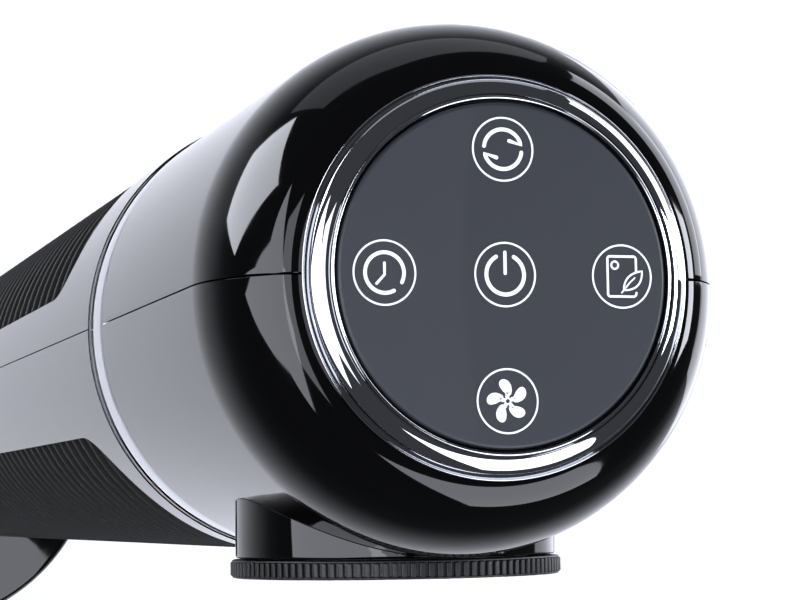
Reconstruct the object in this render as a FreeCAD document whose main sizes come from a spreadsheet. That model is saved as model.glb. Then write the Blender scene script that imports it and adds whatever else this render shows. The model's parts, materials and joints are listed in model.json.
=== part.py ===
import FreeCAD, Part
# Tower fan with a touch panel on its top face, a rotary dial on its front and a swinging base.
# Millimetres. +Z runs up the tower, the front (air outlet and dial) looks along -Y, and the
# origin is the centre of the footprint on the floor.
import os
import re
import Sketcher
from FreeCAD import Placement, Rotation, Vector

doc = FreeCAD.newDocument("tower_fan")
sheet = doc.addObject("Spreadsheet::Sheet", "Sizes")

# Driving dimensions. Every other size and place is worked out from these.
SIZES = {
    # whole object; the shells, the base and the dial follow these
    "height": 1120, "tower_radius": 58.7, "base_radius": 120,
    "wall": 2.5, "gap_slide": 0.4, "gap_shaft": 0.05, "gap_rotor": 0.3, "fit": 0.2,
    # base on the floor
    "foot_radius": 10, "foot_height": 4, "foot_circle": 98, "foot_count": 5,
    "base_skirt": 20, "base_rise": 32, "base_hub": 50, "plate_thick": 3,
    "weight_inner": 58, "weight_outer": 100, "weight_thick": 8,
    "post_radius": 14, "post_bore": 10.5, "post_end": 0.8, "post_flange": 36,
    "gland_radius": 6, "gland_wall": 1.2, "gland_length": 14, "boss_radius": 4, "boss_circle": 110,
    # swing drive
    "washer_inner": 36, "washer_thick": 1.6, "table_thick": 4, "table_hub": 19, "hub_tall": 3.6,
    "gear_teeth": 48, "pinion_teeth": 16, "tooth_module": 1, "gear_width": 6, "gear_backlash": 0.3,
    "stepper_radius": 17.5, "stepper_height": 14, "stepper_reach": 21, "stepper_shaft": 1.5,
    "stepper_lift": 2.8, "stepper_offset": 9, "ear_wide": 8, "ear_thick": 1.5, "clip_thick": 1.2, "clip_depth": 1,
    # tower shells and collars
    "foot_gap": 4, "head_step": 0.5, "head_length": 135, "seam_angle": 0.3,
    "ring_height": 17, "ring_proud": 1.4, "skirt_thick": 2.5, "table_skirt": 18, "collar_lap": 7,
    # grilles
    "front_drop": 166, "rear_drop": 186, "window_foot": 196, "front_half_angle": 63,
    "rear_half_angle": 77, "rib_pitch_front": 11, "rib_pitch_rear": 12.5, "rib_tall": 6, "rib_deep": 3,
    "grille_sink": 0.3, "grille_edge": 4, "stay_angle": 1.5, "stay_deep": 2,
    # head
    "shoulder_wide": 15.9, "shoulder_tall": 28, "shoulder_bend": 8, "bezel_wide": 6.2,
    "bezel_depth": 5.8, "bezel_edge": 1.8, "panel_thick": 3, "panel_sink": 0.6, "seat_wide": 12.3,
    # dial
    "dial_drop": 76.7, "dial_radius": 38.6, "dial_stand": 4.8, "dial_thick": 4.2, "dial_bore": 31,
    "dial_lip": 1.6, "dial_ribs": 120, "dial_rib_deep": 0.8, "dial_rib_half": 0.55, "neck_inset": 1.2,
    "neck_bury": 1.6, "window_lip": 2, "window_thick": 1, "hub_wall": 4,
    # fan drive
    "deck_level": 150, "deck_thick": 3, "upper_lift": 9.4, "wheel_gap": 14.2, "blade_deep": 8,
    "wheel_foot": 176, "wheel_drop": 14, "disc_thick": 2, "wheel_sections": 7, "blade_count": 28,
    "hub_radius": 10, "hub_reach": 8, "shaft_radius": 4, "motor_radius": 37, "motor_height": 50,
    "case_wall": 1.5, "stator_bore": 17.5, "stator_height": 34, "bush_radius": 8, "bush_height": 8,
    "holder_radius": 13, "mount_radius": 6, "mount_height": 4, "mount_circle": 28, "deck_hole": 12,
    "capacitor_thick": 12, "capacitor_wide": 34, "capacitor_tall": 26,
    "guide_gap": 6.5, "guide_shift_x": 4, "guide_shift_y": 3, "guide_thick": 1.6, "tongue_gap": 3,
    # electronics and screws
    "board_thick": 1.6, "board_width": 72, "board_tall": 84, "board_back": 18,
    "screw_radius": 1.5, "screw_head": 3, "screw_head_thick": 1, "screw_length": 7,
}
for row, (word, number) in enumerate(SIZES.items(), start=1):
    sheet.set("A%d" % row, word)
    sheet.set("B%d" % row, str(number))
    sheet.setAlias("B%d" % row, word)
doc.recompute()

PIECES = []          # the finished sub-parts, in the order in which they are made


def rule(text):
    """The sheet formula for a rule written with the plain size names."""
    return re.sub(r"[a-z_]+", lambda m: "Sizes." + m.group() if m.group() in SIZES else m.group(), str(text))


def number(text):
    """The value that a rule has now."""
    return float(sheet.evalExpression(rule(text)))


def bind(thing, rules):
    """Tie properties of an object to rules."""
    for name, text in rules.items():
        thing.setExpression(name, rule(text))


def finish(thing, label):
    """Name a finished sub-part and keep it for writing."""
    thing.Label = label
    PIECES.append(thing)
    return thing


# Turns that carry a primitive's own +Z to the named direction.
FACING = {"up": Rotation(), "front": Rotation(Vector(1, 0, 0), 90), "rear": Rotation(Vector(1, 0, 0), -90)}


def place(thing, at, facing="up"):
    """Put a primitive at a place given by three rules."""
    thing.Placement = Placement(Vector(*[number(text) for text in at]), FACING[facing])
    bind(thing, dict(zip(("Placement.Base.x", "Placement.Base.y", "Placement.Base.z"), at)))
    return thing


def cylinder(name, radius, tall, at=(0, 0, 0), facing="up"):
    thing = doc.addObject("Part::Cylinder", name)
    bind(thing, {"Radius": radius, "Height": tall})
    return place(thing, at, facing)


def box(name, size, at):
    thing = doc.addObject("Part::Box", name)
    bind(thing, dict(zip(("Length", "Width", "Height"), size)))
    return place(thing, at)


def cut(name, base, *tools):
    """The base less each tool in turn."""
    for count, tool in enumerate(tools, start=1):
        result = doc.addObject("Part::Cut", "%s_cut%d" % (name, count))
        result.Base = base
        result.Tool = tool
        base = result
    return base


def join(name, *things):
    result = doc.addObject("Part::MultiFuse", name + "_join")
    result.Shapes = list(things)
    result.Refine = True
    return result


def group(name, things):
    """Separate solids that share one node."""
    result = doc.addObject("Part::Compound", name + "_set")
    result.Links = list(things)
    return result


def tube(name, outer, inner, tall, at=(0, 0, 0), facing="up"):
    """A round sleeve or washer."""
    return cut(name, cylinder(name + "_outer", outer, tall, at, facing),
               cylinder(name + "_bore", inner, tall, at, facing))


def body(name):
    thing = doc.addObject("PartDesign::Body", name)
    thing.AllowCompound = True
    return thing


def sketch_on(owner, name, plane, offset=0):
    """A sketch on one of the body's own planes, moved along that plane's normal."""
    drawing = owner.newObject("Sketcher::SketchObject", name)
    planes = [feature for feature in owner.Origin.OriginFeatures if feature.Role == plane]
    drawing.AttachmentSupport = (planes[0], [""])
    drawing.MapMode = "FlatFace"
    drawing.AttachmentOffset = Placement(Vector(0, 0, number(offset)), Rotation())
    bind(drawing, {"AttachmentOffset.Base.z": offset})
    return drawing


def pin_point(drawing, geometry, end, x, y):
    """Hold a point of the sketch at two rules, measured from the sketch's origin."""
    for axis, text in (("X", x), ("Y", y)):
        made = drawing.addConstraint(Sketcher.Constraint("Distance" + axis, -1, 1, geometry, end, number(text)))
        drawing.setExpression("Constraints[%d]" % made, rule(text))


def outline(drawing, corners):
    """A closed outline of straight sides through the corners."""
    spots = [Vector(number(x), number(y), 0) for x, y in corners]
    first = drawing.GeometryCount
    count = len(corners)
    for side in range(count):
        drawing.addGeometry(Part.LineSegment(spots[side], spots[(side + 1) % count]), False)
    for side in range(count):
        after = first + (side + 1) % count
        drawing.addConstraint(Sketcher.Constraint("Coincident", first + side, 2, after, 1))
    for side, (x, y) in enumerate(corners):
        pin_point(drawing, first + side, 1, x, y)


def ring_in(drawing, x, y, radius):
    """A circle held at a place, with its radius bound."""
    made = drawing.addGeometry(Part.Circle(Vector(number(x), number(y), 0), Vector(0, 0, 1), number(radius)), False)
    pin_point(drawing, made, 3, x, y)
    held = drawing.addConstraint(Sketcher.Constraint("Radius", made, number(radius)))
    drawing.setExpression("Constraints[%d]" % held, rule(radius))


def revolve(owner, drawing, angle=360, backwards=False):
    turned = owner.newObject("PartDesign::Revolution", drawing.Name + "_turn")
    turned.Profile = drawing
    turned.ReferenceAxis = (drawing, ["V_Axis"])
    turned.Angle = number(angle)
    turned.Reversed = backwards
    bind(turned, {"Angle": angle})
    return turned


def pad(owner, drawing, length):
    raised = owner.newObject("PartDesign::Pad", drawing.Name + "_pad")
    raised.Profile = drawing
    bind(raised, {"Length": length})
    return raised


def pocket(owner, drawing, length):
    """Cut towards the sketch's normal; the volume has to fall."""
    doc.recompute()
    before = owner.Shape.Volume
    sunk = owner.newObject("PartDesign::Pocket", drawing.Name + "_pocket")
    sunk.Profile = drawing
    sunk.Reversed = True
    bind(sunk, {"Length": length})
    doc.recompute()
    if owner.Shape.Volume >= before:
        raise RuntimeError(drawing.Name + " cuts nothing")
    return sunk


def origin_axis(owner, role):
    return [feature for feature in owner.Origin.OriginFeatures if feature.Role == role][0]


def pattern_round(owner, feature, count, axis="Z_Axis"):
    copies = owner.newObject("PartDesign::PolarPattern", feature.Name + "_round")
    copies.Originals = [feature]
    copies.Axis = (origin_axis(owner, axis), [""])
    copies.Angle = 360
    bind(copies, {"Occurrences": count})
    owner.Tip = copies
    return copies


def pattern_up(owner, feature, count, length):
    copies = owner.newObject("PartDesign::LinearPattern", feature.Name + "_row")
    copies.Originals = [feature]
    copies.Direction = (origin_axis(owner, "Z_Axis"), [""])
    copies.Length = number(length)
    bind(copies, {"Occurrences": count, "Length": length})
    owner.Tip = copies
    return copies


# ---------------------------------------------------------------- base on the floor

COVER_FOOT = "(foot_height / 2)"
GLAND_Z = "(foot_height + plate_thick + gland_radius - 0.5)"


def base_screw_set(name, radius, foot, tall):
    """One cylinder for each base screw, on a circle outside the weight."""
    made = []
    for turn in range(4):
        at = ("boss_circle * cos(%d)" % (45 + 90 * turn), "boss_circle * sin(%d)" % (45 + 90 * turn), foot)
        made.append(cylinder("%s%d" % (name, turn), radius, tall, at))
    return made


def base_cover():
    """Moulded dome: upright skirt, sloping top, a level hub that the tower turns on, screw bosses."""
    owner = body("base_dome")
    drawing = sketch_on(owner, "base_profile", "XZ_Plane")
    outline(drawing, [
        ("base_radius", COVER_FOOT), ("base_radius", "base_skirt - 5"), ("base_radius - 1.5", "base_skirt - 1.5"),
        ("base_radius - 5", "base_skirt"), ("base_hub + 8", "base_rise - 1.5"), ("base_hub", "base_rise"),
        ("post_radius + gap_slide", "base_rise"), ("post_radius + gap_slide", "base_rise - wall"),
        ("base_hub", "base_rise - wall"), ("base_hub + 8", "base_rise - 1.5 - wall"),
        ("base_radius - 5", "base_skirt - wall"), ("base_radius - wall", "base_skirt - 2 * wall"),
        ("base_radius - wall", COVER_FOOT)])
    revolve(owner, drawing)
    bosses = base_screw_set("base_boss", "boss_radius", "foot_height + plate_thick",
                            "base_skirt - wall - foot_height - plate_thick + 2")
    holes = base_screw_set("boss_hole", "screw_radius", "foot_height + plate_thick", "screw_length - 2")
    way = cylinder("gland_hole", "gland_radius - gland_wall", "gland_length",
                   (0, "base_radius - gland_length", GLAND_Z), "rear")
    rim = cylinder("gland_recess", "gland_radius", "2 * gland_wall", (0, "base_radius - gland_wall", GLAND_Z), "rear")
    return finish(cut("base_cover", join("base_cover", owner, *bosses), way, rim, *holes), "base_cover")


def rubber_feet():
    owner = body("feet")
    drawing = sketch_on(owner, "foot_outline", "XY_Plane")
    ring_in(drawing, "foot_circle", 0, "foot_radius")
    pattern_round(owner, pad(owner, drawing, "foot_height"), "foot_count")
    return finish(owner, "rubber_feet")


base_cover()
rubber_feet()
plate = tube("plate", "base_radius - wall - fit", "post_bore", "plate_thick", (0, 0, "foot_height"))
finish(cut("base_plate", plate, *base_screw_set("plate_hole", "screw_radius", "foot_height", "plate_thick")),
       "base_plate")
finish(tube("base_weight", "weight_outer", "weight_inner", "weight_thick", (0, 0, "foot_height + plate_thick")),
       "base_weight")
screw_heads = base_screw_set("base_screw_head", "screw_head", "foot_height - screw_head_thick", "screw_head_thick")
screw_shanks = base_screw_set("base_screw_shank", "screw_radius", "foot_height", "plate_thick + screw_length - 2")
finish(group("base_screws", [join("base_screw%d" % turn, head, shank)
                             for turn, (head, shank) in enumerate(zip(screw_heads, screw_shanks))]), "base_screws")

# Low-friction washer on the cover's hub.
finish(tube("slide_washer", "base_hub - 2", "washer_inner", "washer_thick", (0, 0, "base_rise")), "slide_washer")

# Strain gland for the mains lead, at the back of the skirt.
gland_body = cylinder("gland_body", "gland_radius - gland_wall", "gland_length",
                      (0, "base_radius - gland_length", GLAND_Z), "rear")
gland_lip = cylinder("gland_lip", "gland_radius", "gland_wall", (0, "base_radius - gland_wall", GLAND_Z), "rear")
gland_way = cylinder("gland_way", "gland_radius - 2 * gland_wall", "2 * gland_length",
                     (0, "base_radius - gland_length", GLAND_Z), "rear")
finish(cut("cord_gland", join("cord_gland", gland_body, gland_lip), gland_way), "cord_gland")


# ---------------------------------------------------------------- swing drive

TABLE = "(base_rise + washer_thick + gap_slide)"
GEAR = "(base_rise + washer_thick + 2 * gap_slide + table_thick + hub_tall)"
CLIP = "(%s + gear_width)" % GEAR
STEPPER = "(%s + gear_width + stepper_lift)" % GEAR
STEPPER_X = "((gear_teeth + pinion_teeth) * tooth_module / 2 + gear_backlash)"
CAN_X = "((gear_teeth + pinion_teeth) * tooth_module / 2 + gear_backlash - stepper_offset)"
SHELL_BORE = "(tower_radius - wall)"
SEATED = "(tower_radius - wall - fit)"
TOWER_FOOT = "(base_rise + foot_gap)"
TOWER_SCREW = "(base_rise + foot_gap + 12)"

# Hollow column screwed under the cover's hub; the wires rise through it. A clip sits in its groove.
post_foot = cylinder("post_foot", "post_flange", "plate_thick", (0, 0, "base_rise - wall - plate_thick"))
post_column = cylinder("post_column", "post_radius", CLIP + " + clip_thick + post_end - base_rise + wall",
                       (0, 0, "base_rise - wall"))
post_bore = cylinder("post_hole", "post_bore", CLIP + " + 10")
post_groove = tube("post_groove", "post_radius + 1", "post_radius - clip_depth", "clip_thick", (0, 0, CLIP))
finish(cut("pivot_post", join("pivot_post", post_foot, post_column), post_bore, post_groove), "pivot_post")
finish(tube("post_clip", "post_radius + 2.5", "post_radius - clip_depth", "clip_thick", (0, 0, CLIP)), "post_clip")


def toothed_wheel(label, teeth, bore, x=0, turned=0):
    """Spur wheel: a root disc and one straight-sided tooth repeated round it."""
    owner = body(label + "_body")
    pitch = "(%s * tooth_module / 2)" % teeth
    disc = sketch_on(owner, label + "_disc", "XY_Plane")
    ring_in(disc, 0, 0, pitch + " - 1.25 * tooth_module")
    ring_in(disc, 0, 0, bore)
    pad(owner, disc, "gear_width")
    tooth = sketch_on(owner, label + "_tooth", "XY_Plane")
    flank = [(pitch + " - 1.5 * tooth_module", 1.1), (pitch, 0.74), (pitch + " + 0.95 * tooth_module", 0.32)]
    lower = [(reach, "-%s * tooth_module" % half) for reach, half in flank]
    upper = [(reach, "%s * tooth_module" % half) for reach, half in reversed(flank)]
    outline(tooth, lower + upper)
    pattern_round(owner, pad(owner, tooth, "gear_width"), teeth)
    owner.Placement = Placement(Vector(number(x), 0, number(GEAR)), Rotation(Vector(0, 0, 1), turned))
    bind(owner, {"Placement.Base.x": x, "Placement.Base.z": GEAR})
    return finish(owner, label)


# The gear stands still on the post; a pinion tooth gap faces its tooth on the line of centres.
toothed_wheel("swing_gear", "gear_teeth", "post_radius")
toothed_wheel("swing_pinion", "pinion_teeth", "stepper_shaft", STEPPER_X, 180 + 180 / number("pinion_teeth"))
finish(cylinder("pinion_shaft", "stepper_shaft", "%s - %s - fit" % (STEPPER, GEAR), (STEPPER_X, 0, GEAR)),
       "pinion_shaft")

# Turntable: the tower's floor, with a skirt that the shells close on and two posts for the stepper.
SIDES = (-1, 1)
table_posts = [cylinder("table_post%d" % (side + 1), "screw_radius + 1.5", "%s - %s" % (STEPPER, TABLE),
                        (CAN_X, "%d * stepper_reach" % side, TABLE)) for side in SIDES]
table = join("turntable", cylinder("table_disc", SEATED, "table_thick", (0, 0, TABLE)),
             tube("table_rim", SEATED, SEATED + " - skirt_thick", "table_skirt", (0, 0, TABLE)),
             cylinder("table_centre", "table_hub", "table_thick + hub_tall", (0, 0, TABLE)), *table_posts)
table_bore = cylinder("table_bore", "post_radius + gap_shaft", "table_skirt", (0, 0, TABLE + " - 1"))


def rear_hole(name, z, radius="screw_radius", depth="screw_length + screw_head_thick"):
    """A hole straight in from the back, on the tower's centre line."""
    return cylinder(name, radius, "%s + 5" % depth, (0, "tower_radius - (%s)" % depth, z), "rear")


finish(cut("turntable", table, table_bore, rear_hole("table_pilot", TOWER_SCREW)), "turntable")

stepper_can = cylinder("stepper_can", "stepper_radius", "stepper_height", (CAN_X, 0, STEPPER))
stepper_ears = box("stepper_ears", ("ear_wide", "2 * stepper_reach + ear_wide", "ear_thick"),
                   (CAN_X + " - ear_wide / 2", "-stepper_reach - ear_wide / 2", STEPPER))
finish(join("swing_stepper", stepper_can, stepper_ears), "swing_stepper")
finish(group("stepper_screws", [
    cylinder("stepper_screw%d" % (side + 1), "screw_head", "2 * screw_head_thick",
             (CAN_X, "%d * stepper_reach" % side, STEPPER + " + ear_thick")) for side in SIDES]),
    "stepper_screws")


# ---------------------------------------------------------------- tower shells and grilles

RING_TOP = "(height - panel_sink - head_length)"
RING_FOOT = "(height - panel_sink - head_length - ring_height)"
UPPER = "(%s - upper_lift)" % RING_FOOT
COLLAR_SCREW = "(%s + 5)" % UPPER
HEAD_SCREW = "(%s + 5)" % RING_TOP
MIDDLE = {"front": -90, "rear": 90}
# Revolutions start on +X; the front half turns towards -Y.
BACKWARDS = {"front": True, "rear": False}


def window_top(side):
    return "(height - panel_sink - %s_drop)" % side


def window_wedge(side):
    """Sector with the window's height and angle, which opens the shell."""
    wedge = doc.addObject("Part::Cylinder", side + "_window")
    half_angle = side + "_half_angle"
    bind(wedge, {"Radius": "tower_radius + 5", "Height": window_top(side) + " - window_foot",
                 "Angle": "2 * " + half_angle})
    turn = Rotation(Vector(0, 0, 1), MIDDLE[side] - number(half_angle))
    wedge.Placement = Placement(Vector(0, 0, number("window_foot")), turn)
    bind(wedge, {"Placement.Base.z": "window_foot"})
    return wedge


def housing(side):
    """Half of the long moulded tube, a seam's width short of a half turn, with its window."""
    owner = body(side + "_tube")
    drawing = sketch_on(owner, side + "_tube_profile", "XZ_Plane")
    outline(drawing, [("tower_radius", TOWER_FOOT), ("tower_radius", RING_FOOT),
                      (SHELL_BORE, RING_FOOT), (SHELL_BORE, TOWER_FOOT)])
    revolve(owner, drawing, "180 - seam_angle", BACKWARDS[side])
    tools = [window_wedge(side)]
    if side == "rear":
        for name, z in (("low", TOWER_SCREW), ("high", COLLAR_SCREW)):
            tools.append(rear_hole("shell_hole_" + name, z))
            tools.append(rear_hole("shell_sink_" + name, z, "screw_head", "screw_head_thick"))
    return finish(cut(side + "_housing", owner, *tools), side + "_housing")


def grille(side):
    """Matt insert in the window: two rails, upright stays and a row of level ribs in front of them."""
    low = "(window_foot + fit)"
    high = "(%s - fit)" % window_top(side)
    span = "(2 * %s_half_angle - 2 * fit)" % side
    pitch = "rib_pitch_" + side
    owner = body(side + "_grille_body")

    def band(name, foot, tall):
        drawing = sketch_on(owner, side + name, "XZ_Plane")
        face = "tower_radius - grille_sink"
        back = "tower_radius - rib_deep"
        outline(drawing, [(face, foot), (face, foot + " + " + tall), (back, foot + " + " + tall), (back, foot)])
        return revolve(owner, drawing, span)

    def stay(name, share, reach):
        drawing = sketch_on(owner, "%s_stay_%s" % (side, name), "XY_Plane", low)
        start = "(%s * (%s - stay_angle))" % (share, span)
        end = "(%s + stay_angle)" % start
        back = "(tower_radius - rib_deep - stay_deep)"
        outline(drawing, [("%s * cos(%s)" % (radius, turn), "%s * sin(%s)" % (radius, turn))
                          for radius, turn in ((back, start), (reach, start), (reach, end), (back, end))])
        pad(owner, drawing, "%s - %s" % (high, low))

    band("_low_rail", low, "grille_edge")
    band("_high_rail", high + " - grille_edge", "grille_edge")
    stay("first", 0, "(tower_radius - grille_sink)")
    stay("last", 1, "(tower_radius - grille_sink)")
    for name, share in (("left", 0.25), ("middle", 0.5), ("right", 0.75)):
        stay(name, share, "(tower_radius - rib_deep + 0.5)")
    rib = band("_rib", "(%s + grille_edge + %s - rib_tall)" % (low, pitch), "rib_tall")
    count = "floor((%s - %s - 2 * grille_edge) / %s)" % (high, low, pitch)
    pattern_up(owner, rib, count, "%s * (%s - 1)" % (pitch, count))
    owner.Placement = Placement(Vector(), Rotation(Vector(0, 0, 1), MIDDLE[side] - number(span) / 2))
    return finish(owner, side + "_grille")


for half in ("front", "rear"):
    housing(half)
    grille(half)


# ---------------------------------------------------------------- chrome ring and upper deck

HEAD_RADIUS = "(tower_radius - head_step)"
HEAD_BORE = "(tower_radius - head_step - wall)"

ring_body = body("ring_band")
ring_profile = sketch_on(ring_body, "ring_profile", "XZ_Plane")
outline(ring_profile, [
    (SHELL_BORE, RING_FOOT), ("tower_radius", RING_FOOT), ("tower_radius + 0.7 * ring_proud", RING_FOOT + " + 2"),
    ("tower_radius + ring_proud", RING_FOOT + " + ring_height / 2"),
    ("tower_radius + 0.7 * ring_proud", RING_TOP + " - 2"), ("tower_radius", RING_TOP), (SHELL_BORE, RING_TOP)])
revolve(ring_body, ring_profile)
finish(ring_body, "chrome_ring")

# Upper deck: carries the wheel's top bearing, and its collar joins the tower, the ring and the head.
collar_low = tube("collar_low", SEATED, SEATED + " - skirt_thick", "upper_lift + ring_height",
                  (0, 0, UPPER))
collar_high = tube("collar_high", HEAD_BORE + " - fit", SEATED + " - skirt_thick", "collar_lap", (0, 0, RING_TOP))
deck_disc = cylinder("upper_disc", SEATED, "deck_thick", (0, 0, UPPER))
deck_bore = cylinder("upper_bore", "holder_radius", "deck_thick", (0, 0, UPPER))
finish(cut("upper_deck", join("upper_deck", collar_low, collar_high, deck_disc), deck_bore,
           rear_hole("collar_pilot", COLLAR_SCREW), rear_hole("head_pilot", HEAD_SCREW)), "upper_deck")


# ---------------------------------------------------------------- head

SEAT = "(height - bezel_depth)"
BEZEL = "(tower_radius - head_step - shoulder_wide)"
BEZEL_BORE = "(tower_radius - head_step - shoulder_wide - bezel_wide)"
DIAL_Z = "(height - panel_sink - dial_drop)"
DIAL_FACE = "(tower_radius - head_step + dial_stand)"
DIAL_BACK = "(tower_radius - head_step + dial_stand - dial_thick)"
NECK_FACE = "(tower_radius - head_step + dial_stand - dial_thick - gap_slide)"
NECK_RADIUS = "(dial_radius - neck_inset)"
DISPLAY_HOLE = "(dial_bore - hub_wall)"


def shoulder_line(drawing):
    """Section of the head: upright side, a shoulder of two tangent arcs and the level seat of the bezel."""
    side_top = "(%s - shoulder_tall)" % SEAT
    bend, wall = number("shoulder_bend"), number("wall")
    wide, tall = number("shoulder_wide"), number("shoulder_tall")
    # The long arc's radius follows from the shoulder's width, its height and the short arc.
    sweep = (wide ** 2 + tall ** 2 - 2 * tall * bend) / (2 * (wide - bend))
    inner_x, outer_x = number(BEZEL), number(HEAD_RADIUS)
    short = Vector(inner_x, number(SEAT) - bend, 0)
    long = Vector(outer_x - sweep, number(side_top), 0)
    meet = Part.makeLine(long, short).Edges[0].tangentAt(0)
    angle = Vector(1, 0, 0).getAngle(meet if sweep > bend else meet.negative())

    def arc(centre, radius, start, end):
        circle = Part.Circle(centre, Vector(0, 0, 1), radius)
        return drawing.addGeometry(Part.ArcOfCircle(circle, start, end), False)

    def line(start, end):
        spots = [Vector(number(x), number(y), 0) for x, y in (start, end)]
        return drawing.addGeometry(Part.LineSegment(*spots), False)

    quarter = FreeCAD.Units.Quantity("90 deg").getValueAs("rad").Value
    seat_x = "(%s - seat_wide)" % BEZEL
    foot, head, shelf = (HEAD_RADIUS, RING_TOP), (HEAD_RADIUS, side_top), (BEZEL, SEAT)
    lip, lip_under = (seat_x, SEAT), (seat_x, SEAT + " - wall")
    shelf_under, head_in = (BEZEL, SEAT + " - wall"), (HEAD_BORE, side_top)
    foot_in = (HEAD_BORE, RING_TOP)
    side = line(foot, head)
    outer_long = arc(long, sweep, 0, angle)
    outer_short = arc(short, bend, angle, quarter)
    top = line(shelf, lip)
    edge = line(lip, lip_under)
    under = line(lip_under, shelf_under)
    inner_short = arc(short, bend - wall, angle, quarter)
    inner_long = arc(long, sweep - wall, 0, angle)
    inside = line(head_in, foot_in)
    base = line(foot_in, foot)
    joints = [(side, 2, outer_long, 1), (outer_long, 2, outer_short, 1), (outer_short, 2, top, 1),
              (under, 2, inner_short, 2), (inner_short, 1, inner_long, 2), (inner_long, 1, inside, 1)]
    for one, one_end, other, other_end in joints:
        drawing.addConstraint(Sketcher.Constraint("Tangent", one, one_end, other, other_end))
    for one, one_end, other, other_end in ((top, 2, edge, 1), (edge, 2, under, 1), (inside, 2, base, 1),
                                           (base, 2, side, 1)):
        drawing.addConstraint(Sketcher.Constraint("Coincident", one, one_end, other, other_end))
    pin_point(drawing, side, 1, *foot)
    pin_point(drawing, top, 1, *shelf)
    pin_point(drawing, top, 2, *lip)
    pin_point(drawing, edge, 2, *lip_under)
    pin_point(drawing, inside, 2, *foot_in)
    for curve, radius in ((outer_short, "shoulder_bend"), (inner_short, "shoulder_bend - wall")):
        made = drawing.addConstraint(Sketcher.Constraint("Radius", curve, number(radius)))
        drawing.setExpression("Constraints[%d]" % made, rule(radius))
    for line_end, height in ((side, side_top), (inside, side_top)):
        end = 2 if line_end == side else 1
        made = drawing.addConstraint(Sketcher.Constraint("DistanceY", -1, 1, line_end, end, number(height)))
        drawing.setExpression("Constraints[%d]" % made, rule(height))
    made = drawing.addConstraint(Sketcher.Constraint("DistanceX", -1, 1, under, 2, number(BEZEL)))
    drawing.setExpression("Constraints[%d]" % made, rule(BEZEL))


def head_shell(side):
    """Half of the domed head; the front one carries the round neck that the dial sits on."""
    owner = body(side + "_head_body")
    drawing = sketch_on(owner, side + "_head_profile", "XZ_Plane")
    shoulder_line(drawing)
    revolve(owner, drawing, "180 - seam_angle", BACKWARDS[side])
    if side == "rear":
        holes = [rear_hole("head_hole", HEAD_SCREW),
                 rear_hole("head_sink", HEAD_SCREW, "screw_head", "screw_head_thick + head_step")]
        return finish(cut("rear_head", owner, *holes), "rear_head_shell")
    root = "(sqrt(%s ^ 2 - %s ^ 2) - neck_bury)" % (HEAD_RADIUS, NECK_RADIUS)
    neck = sketch_on(owner, "neck_outline", "XZ_Plane", root)
    ring_in(neck, 0, DIAL_Z, NECK_RADIUS)
    pad(owner, neck, "%s - %s" % (NECK_FACE, root))
    hollow = sketch_on(owner, "neck_hollow", "XZ_Plane", root + " - 10")
    ring_in(hollow, 0, DIAL_Z, NECK_RADIUS + " - wall")
    pocket(owner, hollow, "%s - wall - %s + 10" % (NECK_FACE, root))
    opening = sketch_on(owner, "display_hole", "XZ_Plane", NECK_FACE + " - wall - 1")
    ring_in(opening, 0, DIAL_Z, DISPLAY_HOLE)
    pocket(owner, opening, "wall + 2")
    return finish(owner, "front_head_shell")


for half in ("front", "rear"):
    head_shell(half)

# Domed bezel round the touch panel.
bezel_body = body("bezel_ring")
bezel_profile = sketch_on(bezel_body, "bezel_profile", "XZ_Plane")
outline(bezel_profile, [
    (BEZEL, SEAT), (BEZEL, SEAT + " + bezel_edge"), (BEZEL + " - 1.2", "height - 2.2"), (BEZEL + " - 3", "height - 0.6"),
    (BEZEL_BORE + " + 1", "height"), (BEZEL_BORE, "height - 0.4"), (BEZEL_BORE, SEAT)])
revolve(bezel_body, bezel_profile)
finish(bezel_body, "chrome_bezel")
finish(cylinder("panel", BEZEL_BORE + " - fit", "panel_thick", (0, 0, "height - panel_sink - panel_thick")),
       "touch_panel")
finish(cylinder("key_board", BEZEL_BORE + " - 1", "bezel_depth - panel_sink - panel_thick", (0, 0, SEAT)),
       "touch_board")

# Upright control board standing on the upper deck, with its larger parts on its front face.
BOARD_FOOT = "(%s + deck_thick)" % UPPER
finish(box("control", ("board_width", "board_thick", "board_tall"), ("-board_width / 2", "board_back", BOARD_FOOT)),
       "control_board")
finish(group("board_parts", [
    box("transformer", (24, 18, 22), ("-board_width / 2 + 6", "board_back - 18", BOARD_FOOT + " + 6")),
    box("relay", (16, 14, 19), ("2", "board_back - 14", BOARD_FOOT + " + 8")),
    box("terminal", (20, 9, 9), ("12", "board_back - 9", BOARD_FOOT + " + 40")),
    cylinder("smoothing", 6, 16, ("-board_width / 2 + 14", "board_back", BOARD_FOOT + " + 42"), "front"),
    cylinder("buzzer", 5.5, 8, ("-4", "board_back", BOARD_FOOT + " + 60"), "front")]), "board_parts")


# ---------------------------------------------------------------- dial on the neck

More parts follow.
